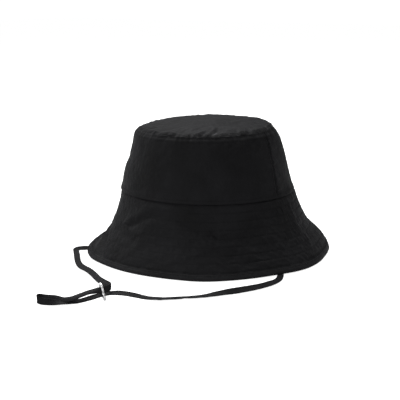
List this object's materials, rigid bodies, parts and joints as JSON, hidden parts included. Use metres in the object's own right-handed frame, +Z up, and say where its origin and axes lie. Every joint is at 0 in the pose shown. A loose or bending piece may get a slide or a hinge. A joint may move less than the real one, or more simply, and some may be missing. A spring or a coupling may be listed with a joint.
{
  "type": "bucket hat",
  "caption": "Soft black cloth hat with a round top, stitched sloping brim and a tape chin strap drawn up by a metal slider.",
  "frame": {"origin": "on the table under the middle of the brim, the hat lying brim down", "axes": "+Z up through the middle of the crown, the wearer faces -Y, side seams and strap ends at -X and +X"},
  "size_m": [0.2607, 0.3782, 0.1383],
  "materials": {
    "shell_nylon": "matt plain-weave nylon, slightly crinkled",
    "binding_nylon": "matt plain-weave nylon, folded",
    "lining_taffeta": "smooth lining taffeta",
    "stiff_interlining": "stiff nonwoven",
    "sweatband_twill": "twill band",
    "label_satin": "blank woven satin",
    "tack_thread": "dense polyester thread",
    "strap_tape": "folded and stitched nylon tape",
    "slider_metal": "polished nickel plate"
  },
  "bodies": {
    "hat": {"bar_tack_left": "tack_thread", "bar_tack_right": "tack_thread", "brim_edge_binding": "binding_nylon", "brim_interlining_back": "stiff_interlining", "brim_interlining_front": "stiff_interlining", "care_label": "label_satin", "chin_strap": "strap_tape", "crown_lining_back": "lining_taffeta", "crown_lining_front": "lining_taffeta", "crown_side_back": "shell_nylon", "crown_side_front": "shell_nylon", "crown_tip": "shell_nylon", "crown_tip_lining": "lining_taffeta", "size_label": "label_satin", "sweatband": "sweatband_twill", "under_brim_back": "shell_nylon", "under_brim_front": "shell_nylon", "upper_brim_back": "shell_nylon", "upper_brim_front": "shell_nylon"},
    "slider": {"strap_slider": "slider_metal"}
  },
  "joints": [
    {"name": "slider_slide", "type": "slide", "parent": "hat", "child": "slider", "axis": [-0.5299, -0.848, 0], "range_m": [0, 0.028]}
  ]
}
